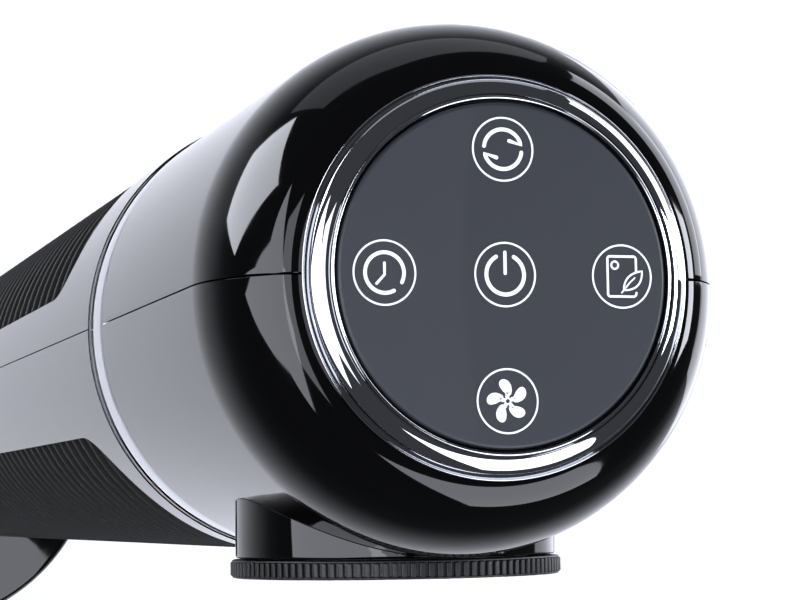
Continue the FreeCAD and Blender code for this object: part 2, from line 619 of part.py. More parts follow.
def dial_ring():
    """Ribbed rotary ring, made flat and turned to face the front."""
    owner = body("dial_body")
    drawing = sketch_on(owner, "dial_disc", "XY_Plane")
    ring_in(drawing, 0, 0, "dial_radius - dial_rib_deep")
    ring_in(drawing, 0, 0, "dial_bore")
    pad(owner, drawing, "dial_thick")
    lip = sketch_on(owner, "dial_lip", "XY_Plane", "dial_thick - dial_lip")
    ring_in(lip, 0, 0, "dial_bore + window_lip + gap_slide")
    pocket(owner, lip, "dial_lip + 1")
    rib = sketch_on(owner, "dial_rib", "XY_Plane")
    foot, tip = "dial_radius - dial_rib_deep - 0.3", "dial_radius"
    outline(rib, [(foot, "-dial_rib_half"), (tip, "-dial_rib_half * 0.6"), (tip, "dial_rib_half * 0.6"),
                  (foot, "dial_rib_half")])
    pattern_round(owner, pad(owner, rib, "dial_thick"), "dial_ribs")
    place(owner, (0, "-" + DIAL_BACK, DIAL_Z), "front")
    return finish(owner, "dial_ring")


dial_ring()
finish(tube("hub", "dial_bore - gap_shaft", DISPLAY_HOLE, "%s - dial_lip + gap_slide - %s" % (DIAL_FACE, NECK_FACE),
            (0, "-" + NECK_FACE, DIAL_Z), "front"), "dial_hub")
finish(cylinder("lens", "dial_bore + window_lip", "window_thick",
                (0, "-(%s - dial_lip + gap_slide)" % DIAL_FACE, DIAL_Z), "front"), "display_window")
finish(cylinder("led_board", DISPLAY_HOLE + " - fit", "board_thick", (0, "-(%s - 1)" % NECK_FACE, DIAL_Z), "front"),
       "display_board")
finish(box("sensor", (8, "board_thick", 6.5),
           (-4, "-(%s - wall)" % NECK_FACE, "%s + %s + 0.5" % (DIAL_Z, DISPLAY_HOLE))), "dial_sensor")


# ---------------------------------------------------------------- fan wheel, motor and air path

WHEEL = "(tower_radius - wall - wheel_gap)"
WHEEL_TOP = "(%s - wheel_drop)" % UPPER
MOTOR_TOP = "(deck_level - mount_height)"
MOTOR_FOOT = "(deck_level - mount_height - motor_height)"
STATOR_FOOT = "(deck_level - mount_height - (motor_height + stator_height) / 2)"


def motor_screws_at(name, radius, foot, tall):
    """One cylinder for each of the four motor fixings."""
    return [cylinder("%s%d" % (name, turn), radius, tall,
                     ("mount_circle * cos(%d)" % (45 + 90 * turn), "mount_circle * sin(%d)" % (45 + 90 * turn), foot))
            for turn in range(4)]


def motor_cup(label, foot, tall, end):
    """One pressed half of the motor's case, with the seat of a bush in its end."""
    shell = cylinder(label + "_can", "motor_radius", tall, (0, 0, foot))
    room = cylinder(label + "_room", "motor_radius - case_wall", tall + " - case_wall",
                    (0, 0, foot + " + case_wall" if end == "low" else foot))
    seat = cylinder(label + "_seat", "bush_radius", tall, (0, 0, foot))
    holes = motor_screws_at(label + "_hole", "screw_radius", foot, tall) if end == "high" else []
    return finish(cut(label, shell, room, seat, *holes), label)


def fan_wheel():
    """Cross-flow wheel: two closed end discs with hubs, ring discs between sections, curved blades."""
    owner = body("wheel")
    for name, foot in (("low", "wheel_foot"), ("high", WHEEL_TOP + " - disc_thick")):
        disc = sketch_on(owner, "wheel_disc_" + name, "XY_Plane", foot)
        ring_in(disc, 0, 0, WHEEL)
        ring_in(disc, 0, 0, "shaft_radius")
        pad(owner, disc, "disc_thick")
    for name, foot in (("low", "wheel_foot - hub_reach"), ("high", WHEEL_TOP + " - disc_thick")):
        hub = sketch_on(owner, "wheel_hub_" + name, "XY_Plane", foot)
        ring_in(hub, 0, 0, "hub_radius")
        ring_in(hub, 0, 0, "shaft_radius")
        pad(owner, hub, "hub_reach + disc_thick")
    blade = sketch_on(owner, "blade", "XY_Plane", "wheel_foot")
    inner = "(%s - blade_deep)" % WHEEL
    spots = [(inner, 0), ("(%s + blade_deep / 2)" % inner, 3), ("(%s - 0.3)" % WHEEL, 9)]
    back = [(reach, turn + 1.3) for reach, turn in reversed(spots)]
    outline(blade, [("%s * cos(%s)" % spot, "%s * sin(%s)" % spot) for spot in spots + back])
    pattern_round(owner, pad(owner, blade, "%s - wheel_foot" % WHEEL_TOP), "blade_count")
    pitch = "((%s - wheel_foot - disc_thick) / wheel_sections)" % WHEEL_TOP
    ring = sketch_on(owner, "wheel_ring", "XY_Plane", "wheel_foot + " + pitch)
    ring_in(ring, 0, 0, WHEEL)
    ring_in(ring, 0, 0, inner)
    pattern_up(owner, pad(owner, ring, "disc_thick"), "wheel_sections - 1", pitch + " * (wheel_sections - 2)")
    return finish(owner, "fan_wheel")


fan_wheel()
finish(cylinder("shaft_low", "shaft_radius", "wheel_foot + disc_thick - %s + 6" % MOTOR_FOOT,
                (0, 0, MOTOR_FOOT + " - 6")), "motor_shaft")
finish(cylinder("shaft_high", "shaft_radius", "%s - %s + hub_reach" % (UPPER, WHEEL_TOP),
                (0, 0, WHEEL_TOP + " - disc_thick")), "wheel_pin")
finish(tube("rotor", "stator_bore - gap_rotor", "shaft_radius", "stator_height", (0, 0, STATOR_FOOT)), "motor_rotor")
finish(tube("stator", "motor_radius - case_wall", "stator_bore", "stator_height", (0, 0, STATOR_FOOT)),
       "motor_stator")
motor_cup("motor_case_lower", MOTOR_FOOT, "motor_height / 2", "low")
motor_cup("motor_case_upper", MOTOR_TOP + " - motor_height / 2", "motor_height / 2", "high")
finish(group("motor_bushes", [
    tube("bush_low", "bush_radius", "shaft_radius + gap_shaft", "bush_height", (0, 0, MOTOR_FOOT)),
    tube("bush_high", "bush_radius", "shaft_radius + gap_shaft", "bush_height", (0, 0, MOTOR_TOP + " - bush_height"))]),
    "motor_bushes")
finish(group("motor_mounts", [
    cut("mount%d" % turn, pad_round, hole) for turn, (pad_round, hole) in enumerate(zip(
        motor_screws_at("mount_pad", "mount_radius", MOTOR_TOP, "mount_height"),
        motor_screws_at("mount_hole", "screw_radius", MOTOR_TOP, "mount_height")))]), "motor_mounts")
finish(group("motor_screws", [
    join("motor_screw%d" % turn, shank, head) for turn, (shank, head) in enumerate(zip(
        motor_screws_at("motor_shank", "screw_radius", MOTOR_TOP + " - case_wall",
                        "case_wall + mount_height + deck_thick"),
        motor_screws_at("motor_head", "screw_head", "deck_level + deck_thick", "2 * screw_head_thick")))]),
    "motor_screws")
finish(cut("motor_deck", cylinder("deck_plate", SEATED, "deck_thick", (0, 0, "deck_level")),
           cylinder("deck_bore", "deck_hole", "deck_thick", (0, 0, "deck_level")),
           *motor_screws_at("deck_screw_hole", "screw_radius", "deck_level", "deck_thick")), "motor_deck")
# The run capacitor is strapped under the motor, beside the shaft's end.
finish(box("capacitor", ("capacitor_thick", "capacitor_wide", "capacitor_tall"),
           ("-motor_radius / 2 - capacitor_thick / 2", "-capacitor_wide / 2", MOTOR_FOOT + " - capacitor_tall")),
       "run_capacitor")

# The wheel's top pin turns in a bush, which a rubber ring holds in the upper deck.
finish(tube("holder", "holder_radius", "bush_radius", "bush_height", (0, 0, UPPER)), "bearing_holder")
finish(tube("pin_bush", "bush_radius", "shaft_radius + gap_shaft", "bush_height", (0, 0, UPPER)), "wheel_bush")


def curved_wall(name, radius, start, sweep, x=0, y=0):
    """An upright sheet bent to a part of a circle, from the motor deck to the upper deck."""
    walls = []
    for part, reach in (("outer", radius + " + guide_thick"), ("inner", radius)):
        wedge = cylinder("%s_%s" % (name, part), reach, "%s - deck_level - deck_thick" % UPPER,
                         (x, y, "deck_level + deck_thick"))
        wedge.Placement.Rotation = Rotation(Vector(0, 0, 1), start)
        bind(wedge, {"Angle": sweep})
        walls.append(wedge)
    return cut(name, *walls)


# The guide leads the air from the wheel to the front window; the tongue closes the other side.
finish(curved_wall("guide", "(%s + guide_gap)" % WHEEL, -22, 72, "guide_shift_x", "-guide_shift_y"), "air_guide")
tongue = curved_wall("tongue", "(%s + tongue_gap)" % WHEEL, 172, 28)
fin_start = "(%s + tongue_gap)" % WHEEL
fin = box("tongue_fin", ("wheel_gap - tongue_gap - 2", "guide_thick", "%s - deck_level - deck_thick" % UPPER),
          (fin_start + " * cos(199)", fin_start + " * sin(199)", "deck_level + deck_thick"))
fin.Placement.Rotation = Rotation(Vector(0, 0, 1), 199)
finish(join("vortex_tongue", tongue, fin), "vortex_tongue")

# Screws that close the rear shells on the turntable and the collar, all on the centre line.
rear_screws = []
for name, z, reach in (("low", TOWER_SCREW, "tower_radius"), ("high", COLLAR_SCREW, "tower_radius"),
                       ("head", HEAD_SCREW, HEAD_RADIUS)):
    shank = cylinder("rear_shank_" + name, "screw_radius", "screw_length",
                     (0, reach + " - screw_head_thick - screw_length", z), "rear")
    head = cylinder("rear_cap_" + name, "screw_head", "screw_head_thick",
                    (0, reach + " - screw_head_thick", z), "rear")
    rear_screws.append(join("rear_screw_" + name, shank, head))
finish(group("shell_screws", rear_screws), "shell_screws")


# ---------------------------------------------------------------- check and write

doc.recompute()
for thing in doc.Objects:
    if "Invalid" in thing.State or "Error" in thing.State:
        raise RuntimeError("%s did not build: %s" % (thing.Name, thing.State))
os.makedirs("parts", exist_ok=True)
for piece in PIECES:
    if piece.Shape.isNull() or not piece.Shape.isValid():
        raise RuntimeError(piece.Label + " has no sound shape")
for piece in PIECES:
    piece.Shape.exportStep("parts/%s.step" % piece.Label)
print(len(PIECES), "sub-parts written")
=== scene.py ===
import json
import math
import bpy
from mathutils import Matrix, Vector


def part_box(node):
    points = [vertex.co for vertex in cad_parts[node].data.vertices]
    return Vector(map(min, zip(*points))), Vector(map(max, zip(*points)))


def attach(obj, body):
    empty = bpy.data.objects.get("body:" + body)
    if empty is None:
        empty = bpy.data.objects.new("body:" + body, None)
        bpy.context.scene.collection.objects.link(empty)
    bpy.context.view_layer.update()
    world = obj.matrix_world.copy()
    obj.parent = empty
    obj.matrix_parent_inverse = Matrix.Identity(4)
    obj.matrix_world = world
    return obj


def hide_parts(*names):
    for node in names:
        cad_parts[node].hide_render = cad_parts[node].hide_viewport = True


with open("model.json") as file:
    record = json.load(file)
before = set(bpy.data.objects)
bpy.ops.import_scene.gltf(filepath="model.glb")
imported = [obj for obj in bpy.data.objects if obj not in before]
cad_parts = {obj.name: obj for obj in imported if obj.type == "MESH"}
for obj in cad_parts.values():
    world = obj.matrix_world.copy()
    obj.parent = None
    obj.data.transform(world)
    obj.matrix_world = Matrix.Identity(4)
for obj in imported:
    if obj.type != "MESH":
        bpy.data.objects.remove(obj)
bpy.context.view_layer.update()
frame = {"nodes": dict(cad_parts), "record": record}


# Camera. It looks down on the touch panel from the left of the tower, with the shell running away
# below it; its place follows the panel's height.
panel_low, panel_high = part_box("touch_panel")
CAMERA_LEFT, CAMERA_FRONT, CAMERA_ABOVE = 0.16708, 0.04734, 0.443
CAMERA_TURNS = (5.4236, -17.9536, -0.9594)
bpy.ops.object.camera_add(location=(-CAMERA_LEFT, -CAMERA_FRONT, panel_high.z + CAMERA_ABOVE),
                          rotation=[math.radians(angle) for angle in CAMERA_TURNS])
camera = bpy.context.object
camera.data.lens = 104.156
camera.data.sensor_width = 36.0
bpy.context.scene.camera = camera
bpy.context.scene.view_settings.view_transform = "Standard"


# Studio. A pale seamless floor, and soft boxes round a dark room: the boxes are what the polished
# shells show, so each has a direction, a size and a brightness of its own.
def srgb(code):
    """The linear colour of an sRGB hex value."""
    channels = [int(code[place:place + 2], 16) / 255 for place in (1, 3, 5)]
    return [c / 12.92 if c <= 0.04045 else ((c + 0.055) / 1.055) ** 2.4 for c in channels] + [1.0]


def add_node(material, kind, feeds=(), inputs=None, **settings):
    """Add a node, set it, fill its inputs, and link (node, output, input) feeds into it."""
    made = material.node_tree.nodes.new(kind)
    for name, value in settings.items():
        setattr(made, name, value)
    for name, value in (inputs or {}).items():
        made.inputs[name].default_value = value
    for source, output, target in feeds:
        material.node_tree.links.new(source.outputs[output], made.inputs[target])
    return made


def plain_material(name, colour, roughness, **sockets):
    """A Principled material whose plain values sit on the shader's own sockets."""
    material = bpy.data.materials.new(name)
    material.use_nodes = True
    shader = material.node_tree.nodes["Principled BSDF"]
    shader.inputs["Base Color"].default_value = srgb(colour)
    shader.inputs["Roughness"].default_value = roughness
    for socket, value in sockets.items():
        shader.inputs[socket.replace("_", " ")].default_value = value
    return material, shader


def link(material, source, output, target, socket):
    material.node_tree.links.new(source.outputs[output], target.inputs[socket])


FLOOR_WIDE = 30
bpy.ops.mesh.primitive_plane_add(size=FLOOR_WIDE, location=(0, 0, 0))
floor = bpy.context.object
floor.name = "studio_floor"
# matt paper: an even white with a barely felt tooth
paper, paper_shader = plain_material("matt_white_paper", "#F4F4F5", 0.9)
paper_grain = add_node(paper, "ShaderNodeTexNoise", inputs={"Scale": 60.0})
paper_bump = add_node(paper, "ShaderNodeBump", [(paper_grain, "Fac", "Height")], {"Strength": 0.02})
link(paper, paper_bump, "Normal", paper_shader, "Normal")
floor.data.materials.append(paper)
COOL = (0.955, 0.98, 1.08)             # daylight tubes, a little blue
HEAD_BELOW = 0.03                      # the middle of the head lies this far under the panel


def soft_box(name, azimuth, elevation, distance, wide_angle, tall_angle, radiance, turn=0.0):
    """A card of light that only reflections show, placed and sized by angles as the head sees it."""
    a, e = math.radians(azimuth), math.radians(elevation)
    aim = Vector((0, 0, panel_high.z - HEAD_BELOW))
    spot = aim + distance * Vector((math.sin(a) * math.cos(e), -math.cos(a) * math.cos(e), math.sin(e)))
    bpy.ops.object.light_add(type="AREA", location=spot)
    lamp = bpy.context.object
    lamp.name = name
    lamp.rotation_euler = (aim - spot).to_track_quat("-Z", "Y").to_euler()
    lamp.rotation_euler.rotate_axis("Z", math.radians(turn))
    lamp.data.shape = "RECTANGLE"
    lamp.data.size = 2 * distance * math.tan(math.radians(wide_angle / 2))
    lamp.data.size_y = 2 * distance * math.tan(math.radians(tall_angle / 2))
    lamp.data.energy = radiance * math.pi * lamp.data.size * lamp.data.size_y
    lamp.data.color = COOL
    lamp.visible_diffuse = False
    lamp.visible_camera = False


soft_box("left_window", -125, -19, 2.0, 31, 31, 8.0, turn=45)
soft_box("left_wall", -86, 29, 2.4, 56, 56, 3.8, turn=38)
soft_box("left_high", -92, 67, 2.4, 36, 24, 2.4)
soft_box("front_high", 30, 38, 2.2, 40, 56, 3.6)
soft_box("right_strip", 96, 34, 2.0, 20, 18, 15.0)
soft_box("right_wall", 118, -2, 2.0, 46, 38, 3.6)
soft_box("right_low", 104, -32, 1.0, 44, 40, 1.6)
soft_box("rear_wall", 178, -20, 2.2, 60, 26, 0.5)

# One lamp high above lights the floor and the grained pieces, and stays out of every reflection.
bpy.ops.object.light_add(type="AREA", location=(0.3, 0, 5))
overhead = bpy.context.object
overhead.name = "overhead"
overhead.data.size = 1.5
overhead.data.spread = math.radians(40)
overhead.data.energy = 19
overhead.data.color = COOL
overhead.visible_glossy = False
overhead.visible_camera = False
world = bpy.data.worlds.new("dark_room")
bpy.context.scene.world = world
world.use_nodes = True
world.node_tree.nodes["Background"].inputs["Color"].default_value = srgb("#46484C")


# Head. Two moulded half shells of piano-black ABS, 2.5 mm thick, polished in the tool: a straight
# side, a shoulder of two tangent arcs, and a level seat for the bezel. They meet along both flanks.
MM = 0.001
WALL = 2.5 * MM
head_low, head_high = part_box("rear_head_shell")
HEAD_RADIUS = head_high.y
SEAM = 0.15 * MM                       # half the joint between front and rear shells
SMOOTH = math.radians(35)
EDGE = {"width": 0.35 * MM, "segments": 2, "limit_method": "ANGLE", "angle_limit": math.radians(50)}


def nothing_selected():
    if bpy.context.object and bpy.context.object.mode == "EDIT":
        bpy.ops.object.mode_set(mode="OBJECT")
    bpy.ops.object.select_all(action="DESELECT")


def lathe(name, stations, steps=192, closed=False, cap_start=False, cap_end=False):
    """A circle drawn at the first (radius, height) station and extruded through the others."""
    nothing_selected()
    radius, height = stations[0]
    bpy.ops.mesh.primitive_circle_add(vertices=steps, radius=radius, location=(0, 0, 0),
                                      fill_type="NGON" if cap_start else "NOTHING")
    turned = bpy.context.object
    turned.name = name
    bpy.ops.object.mode_set(mode="EDIT")
    bpy.ops.mesh.select_all(action="SELECT")
    bpy.ops.transform.translate(value=(0, 0, height))
    if cap_start:
        bpy.ops.mesh.select_all(action="DESELECT")
        bpy.ops.mesh.select_mode(type="EDGE")
        bpy.ops.mesh.select_non_manifold()
    bpy.ops.mesh.select_mode(type="VERT")
    for next_radius, next_height in stations[1:]:
        bpy.ops.mesh.extrude_edges_move(TRANSFORM_OT_translate={"value": (0, 0, next_height - height)})
        grow = next_radius / radius
        bpy.ops.transform.resize(value=(grow, grow, 1), center_override=(0, 0, next_height))
        radius, height = next_radius, next_height
    if cap_end:
        bpy.ops.mesh.edge_face_add()
    if closed:
        bpy.ops.mesh.select_all(action="DESELECT")
        bpy.ops.mesh.select_mode(type="EDGE")
        bpy.ops.mesh.select_non_manifold()
        bpy.ops.mesh.bridge_edge_loops()
        bpy.ops.mesh.select_mode(type="VERT")
    bpy.ops.mesh.select_all(action="SELECT")
    bpy.ops.mesh.normals_make_consistent(inside=False)
    bpy.ops.object.mode_set(mode="OBJECT")
    return turned


def arc(radius_at, height_at, radius, start, end, count):
    """Stations along an arc about (radius_at, height_at), by angle in degrees from the outward side."""
    angles = [math.radians(start + (end - start) * step / count) for step in range(count + 1)]
    return [(radius_at + radius * math.cos(angle), height_at + radius * math.sin(angle)) for angle in angles]


def keep_half(piece, side):
    """Cut the piece at the seam and keep its front or rear half, still open along the cut."""
    bpy.context.view_layer.objects.active = piece
    bpy.ops.object.mode_set(mode="EDIT")
    bpy.ops.mesh.select_all(action="SELECT")
    bpy.ops.mesh.bisect(plane_co=(0, SEAM * (1 if side == "rear" else -1), 0), plane_no=(0, 1, 0),
                        clear_inner=side == "rear", clear_outer=side == "front")
    bpy.ops.object.mode_set(mode="OBJECT")


def pick(*pieces):
    """Select only these pieces; the last one is the active one."""
    nothing_selected()
    for piece in pieces:
        piece.select_set(True)
    bpy.context.view_layer.objects.active = pieces[-1]


def modify(piece, kind, **settings):
    """Add a modifier, set it and apply it."""
    pick(piece)
    made = piece.modifiers.new(kind.lower(), kind)
    for name, value in settings.items():
        setattr(made, name, value)
    bpy.ops.object.modifier_apply(modifier=made.name)


def smooth(piece, angle=SMOOTH):
    """Smooth shading up to an angle, with large faces keeping their own direction at rounded edges."""
    pick(piece)
    bpy.ops.object.shade_smooth_by_angle(angle=angle)
    modify(piece, "WEIGHTED_NORMAL", keep_sharp=True, weight=100)


def settle(piece, body, slot_name, material, *nodes):
    """The finished piece: place in the mesh, material, body, and the CAD nodes it stands for; slot_name is
    not used.
    """
    pick(piece)
    bpy.ops.object.transform_apply(location=True, rotation=True, scale=True)
    piece.data.materials.clear()
    piece.data.materials.append(material)
    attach(piece, body)
    if nodes:
        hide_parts(*nodes)


# Piano black: ABS coloured through and moulded in a mirror-polished tool. The eye gets a black depth
# under a hard, clear reflection, with the faint waviness of a moulded wall and a little handling haze.
piano_black, piano_shader = plain_material("abs_piano_black_polished", "#020203", 0.045, IOR=1.5)
sheet_wave = add_node(piano_black, "ShaderNodeTexNoise", inputs={"Scale": 1 / (18 * MM), "Detail": 2.0})
haze = add_node(piano_black, "ShaderNodeTexNoise", inputs={"Scale": 1 / (9 * MM), "Detail": 6.0})
own_place = add_node(piano_black, "ShaderNodeTexCoord")
for texture in (sheet_wave, haze):
    link(piano_black, own_place, "Object", texture, "Vector")
haze_range = add_node(piano_black, "ShaderNodeMapRange", [(haze, "Fac", "Value")],
                      {"From Min": 0.35, "From Max": 0.75, "To Min": 0.03, "To Max": 0.075})
link(piano_black, haze_range, "Result", piano_shader, "Roughness")
wave_bump = add_node(piano_black, "ShaderNodeBump", [(sheet_wave, "Fac", "Height")],
                     {"Strength": 0.25, "Distance": 0.08 * MM})
link(piano_black, wave_bump, "Normal", piano_shader, "Normal")

BEZEL_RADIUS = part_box("chrome_bezel")[1].x
SEAT = head_high.z
SEAT_WIDE = 12.3 * MM                  # how far the level seat runs in under the bezel and panel
SHOULDER_TALL = 28 * MM
SHORT_BEND = 8 * MM
shoulder_wide = HEAD_RADIUS - BEZEL_RADIUS
long_bend = ((shoulder_wide ** 2 + SHOULDER_TALL ** 2 - 2 * SHOULDER_TALL * SHORT_BEND)
             / (2 * (shoulder_wide - SHORT_BEND)))
short_centre = (BEZEL_RADIUS, SEAT - SHORT_BEND)
long_centre = (HEAD_RADIUS - long_bend, SEAT - SHOULDER_TALL)
meeting = math.degrees(math.atan2(short_centre[1] - long_centre[1], short_centre[0] - long_centre[0]))
head_line = [(HEAD_RADIUS, head_low.z), (HEAD_RADIUS, (head_low.z + long_centre[1]) / 2)]
head_line += arc(*long_centre, long_bend, 0, meeting, 14)
head_line += arc(*short_centre, SHORT_BEND, meeting, 90, 12)[1:]
head_line += [(BEZEL_RADIUS - SEAT_WIDE, SEAT)]


def half_shell(name, side, stations):
    """Half of a turned skin, cut at the seam and thickened inwards to the wall of the moulding."""
    shell = lathe(name, stations)
    keep_half(shell, side)
    modify(shell, "SOLIDIFY", thickness=WALL, offset=-1)
    return shell


rear_head = half_shell("rear_head", "rear", head_line)
modify(rear_head, "BEVEL", **EDGE)
smooth(rear_head)
settle(rear_head, "tower", "gloss_black", piano_black, "rear_head_shell")

# The front half has a round opening and, moulded on round it, the dial's neck: a short tube that stands on
# the flank, with a flat face round the hole for the display. A fine rounded foot runs where they meet.
dial_low, dial_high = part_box("dial_ring")
DIAL_Z = (dial_low.z + dial_high.z) / 2
DIAL_RADIUS = (dial_high.x - dial_low.x) / 2
NECK_RADIUS = DIAL_RADIUS - 1.2 * MM
NECK_FACE = -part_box("dial_hub")[1].y
NECK_START = 36 * MM                   # inside the head, where the tube is cut off by its round flank
front_head = half_shell("front_head", "front", head_line)


def to_front(piece, height):
    """Turn a piece made about +Z so that its top faces the front, at a height on the tower."""
    pick(piece)
    piece.rotation_euler = (math.radians(90), 0, 0)
    piece.location = (0, 0, height)
    bpy.ops.object.transform_apply(location=True, rotation=True, scale=True)
    return piece


def cut(piece, tool):
    """Take the tool's shape out of the piece, and the tool out of the scene."""
    modify(piece, "BOOLEAN", object=tool, operation="DIFFERENCE", solver="EXACT")
    bpy.data.objects.remove(tool, do_unlink=True)


neck_way = lathe("neck_way", [(NECK_RADIUS - WALL, 30 * MM), (NECK_RADIUS - WALL, 70 * MM)],
                 96, cap_start=True, cap_end=True)
cut(front_head, to_front(neck_way, DIAL_Z))
modify(front_head, "BEVEL", **EDGE)
DISPLAY_HOLE = 27 * MM
NECK_EDGE = 0.5 * MM
neck_line = [(NECK_RADIUS, NECK_START), (NECK_RADIUS, NECK_START + 10 * MM),
             (NECK_RADIUS, NECK_FACE - NECK_EDGE)]
neck_line += arc(NECK_RADIUS - NECK_EDGE, NECK_FACE - NECK_EDGE, NECK_EDGE, 0, 90, 4)[1:]
neck_line += [(DISPLAY_HOLE, NECK_FACE), (DISPLAY_HOLE, NECK_FACE - WALL),
              (NECK_RADIUS - WALL, NECK_FACE - WALL), (NECK_RADIUS - WALL, NECK_START)]
neck = to_front(lathe("neck", neck_line, 160, closed=True), DIAL_Z)
SADDLE_RADIUS = HEAD_RADIUS + 0.08 * MM
saddle = lathe("saddle", [(SADDLE_RADIUS, head_low.z - 5 * MM), (SADDLE_RADIUS, SEAT)],
               256, cap_start=True, cap_end=True)
cut(neck, saddle)
modify(neck, "BEVEL", width=0.3 * MM, segments=2, limit_method="ANGLE", angle_limit=math.radians(28))
pick(neck, front_head)
bpy.ops.object.join()
smooth(front_head)
settle(front_head, "tower", "gloss_black", piano_black, "front_head_shell")


# Bezel. A ring of ABS, moulded, then plated with copper, nickel and chrome: a fine outer lip, a groove,
# a broad domed band, a fine inner bead and a gap to the panel. It snaps into the seat of both head shells.
# Bright chrome: a neutral mirror that gives back a little over half the light, its polish not quite even.
chrome, chrome_shader = plain_material("chrome_plated_bright", "#C4C6CA", 0.03, Metallic=1.0)
polish = add_node(chrome, "ShaderNodeTexNoise", inputs={"Scale": 1 / (4 * MM), "Detail": 1.0})
chrome_place = add_node(chrome, "ShaderNodeTexCoord")
link(chrome, chrome_place, "Object", polish, "Vector")
polish_range = add_node(chrome, "ShaderNodeMapRange", [(polish, "Fac", "Value")],
                        {"From Min": 0.3, "From Max": 0.7, "To Min": 0.02, "To Max": 0.035})
link(chrome, polish_range, "Result", chrome_shader, "Roughness")

PANEL_RADIUS = panel_high.x
LIP_BEND = 0.25 * MM
GROOVE_FLOOR = SEAT + 0.9 * MM
BAND_BEND = 4.24 * MM
BAND_MIDDLE = (BEZEL_RADIUS - 4.9 * MM, SEAT + 0.76 * MM)
BAND_LEANS = (58, 4)                   # degrees from upright at the band's outer and inner edge
BAND_STEPS = 14
INNER_GROOVE = SEAT + 4.1 * MM
BEAD_BEND = 0.38 * MM
BEZEL_BORE = BEZEL_RADIUS - 6.15 * MM
bezel_line = [(BEZEL_RADIUS, SEAT), (BEZEL_RADIUS, SEAT + 1.3 * MM)]
bezel_line += arc(BEZEL_RADIUS - LIP_BEND, SEAT + 1.45 * MM, LIP_BEND, 0, 150, 5)
bezel_line += [(BEZEL_RADIUS - 0.7 * MM, GROOVE_FLOOR), (BEZEL_RADIUS - 1.2 * MM, GROOVE_FLOOR)]
for step in range(BAND_STEPS + 1):
    lean = math.radians(BAND_LEANS[0] + (BAND_LEANS[1] - BAND_LEANS[0]) * step / BAND_STEPS)
    bezel_line.append((BAND_MIDDLE[0] + BAND_BEND * math.sin(lean),
                       BAND_MIDDLE[1] + BAND_BEND * math.cos(lean)))
bezel_line += [(BEZEL_RADIUS - 4.75 * MM, INNER_GROOVE), (BEZEL_RADIUS - 5.0 * MM, INNER_GROOVE)]
bezel_line += arc(BEZEL_RADIUS - 5.4 * MM, SEAT + 5.05 * MM, BEAD_BEND, 0, 180, 8)
bezel_line += [(BEZEL_RADIUS - 5.85 * MM, SEAT + 3.4 * MM), (BEZEL_BORE, SEAT + 3.2 * MM), (BEZEL_BORE, SEAT)]
bezel = lathe("bezel", bezel_line, 256, closed=True)
smooth(bezel, math.radians(50))
settle(bezel, "tower", "chrome", chrome, "chrome_bezel")


# Touch panel. A disc of tinted acrylic with a rounded rim, cut, hard-coated and glued over the touch
# board inside the bezel. The keys are printed on it and have no travel.
# The satin coat blurs the studio into a soft grey slope, and hides its own grain at arm's length.
panel_black, panel_shader = plain_material("acrylic_panel_satin_hardcoat", "#212429", 0.42, IOR=1.49)
panel_place = add_node(panel_black, "ShaderNodeTexCoord")
coat_grain = add_node(panel_black, "ShaderNodeTexNoise", [(panel_place, "Object", "Vector")],
                      {"Scale": 1 / (0.4 * MM), "Detail": 3.0})
coat_bump = add_node(panel_black, "ShaderNodeBump", [(coat_grain, "Fac", "Height")],
                     {"Strength": 0.05, "Distance": 0.01 * MM})
link(panel_black, coat_bump, "Normal", panel_shader, "Normal")
PANEL_FACE = panel_high.z
RIM = 0.9 * MM
panel_line = [(PANEL_RADIUS, panel_low.z), (PANEL_RADIUS, PANEL_FACE - RIM)]
panel_line += arc(PANEL_RADIUS - RIM, PANEL_FACE - RIM, RIM, 0, 90, 6)[1:]
panel = lathe("panel", panel_line, 192, cap_start=True, cap_end=True)
smooth(panel, math.radians(30))
settle(panel, "tower", "panel", panel_black, "touch_panel")

# Key marks. White ink screen-printed on the panel in a coat of a few hundredths of a millimetre: a ring
# round each of five pictograms, for swing, timer, power, night mode and fan speed.
# The ink is even and dull, with the fine speckle of the screen.
ink, ink_shader = plain_material("screen_print_white", "#E2E5EA", 0.5)
ink_place = add_node(ink, "ShaderNodeTexCoord")
ink_speckle = add_node(ink, "ShaderNodeTexNoise", [(ink_place, "Object", "Vector")],
                       {"Scale": 1 / (0.3 * MM)})
ink_bump = add_node(ink, "ShaderNodeBump", [(ink_speckle, "Fac", "Height")],
                    {"Strength": 0.1, "Distance": 0.01 * MM})
link(ink, ink_bump, "Normal", ink_shader, "Normal")
KEY_PITCH = 26 * MM
KEY_RADIUS = 6.56 * MM
INK_TALL = 0.06 * MM
marks = []


def stroke(key, points, width, closed=False):
    """A printed line through points in key radii from the key's centre, as wide as its share of a radius."""
    half_wide = KEY_RADIUS * width / 2
    line = bpy.data.curves.new("mark", "CURVE")
    line.dimensions = "3D"
    line.bevel_depth = half_wide
    line.bevel_resolution = 1
    line.use_fill_caps = True
    path = line.splines.new("POLY")
    path.points.add(len(points) - 1)
    places = [(key[0] + x * KEY_RADIUS, key[1] + y * KEY_RADIUS) for x, y in points]
    for point, (x, y) in zip(path.points, places):
        point.co = (x, y, 0, 1)
    path.use_cyclic_u = closed
    mark = bpy.data.objects.new("mark", line)
    bpy.context.scene.collection.objects.link(mark)
    mark.scale.z = INK_TALL / half_wide
    mark.location.z = PANEL_FACE
    marks.append(mark)
    if not closed:
        for x, y in (places[0], places[-1]):
            bpy.ops.mesh.primitive_uv_sphere_add(segments=12, ring_count=6, radius=half_wide,
                                                 location=(x, y, PANEL_FACE))
            bpy.context.object.scale.z = INK_TALL / half_wide
            marks.append(bpy.context.object)


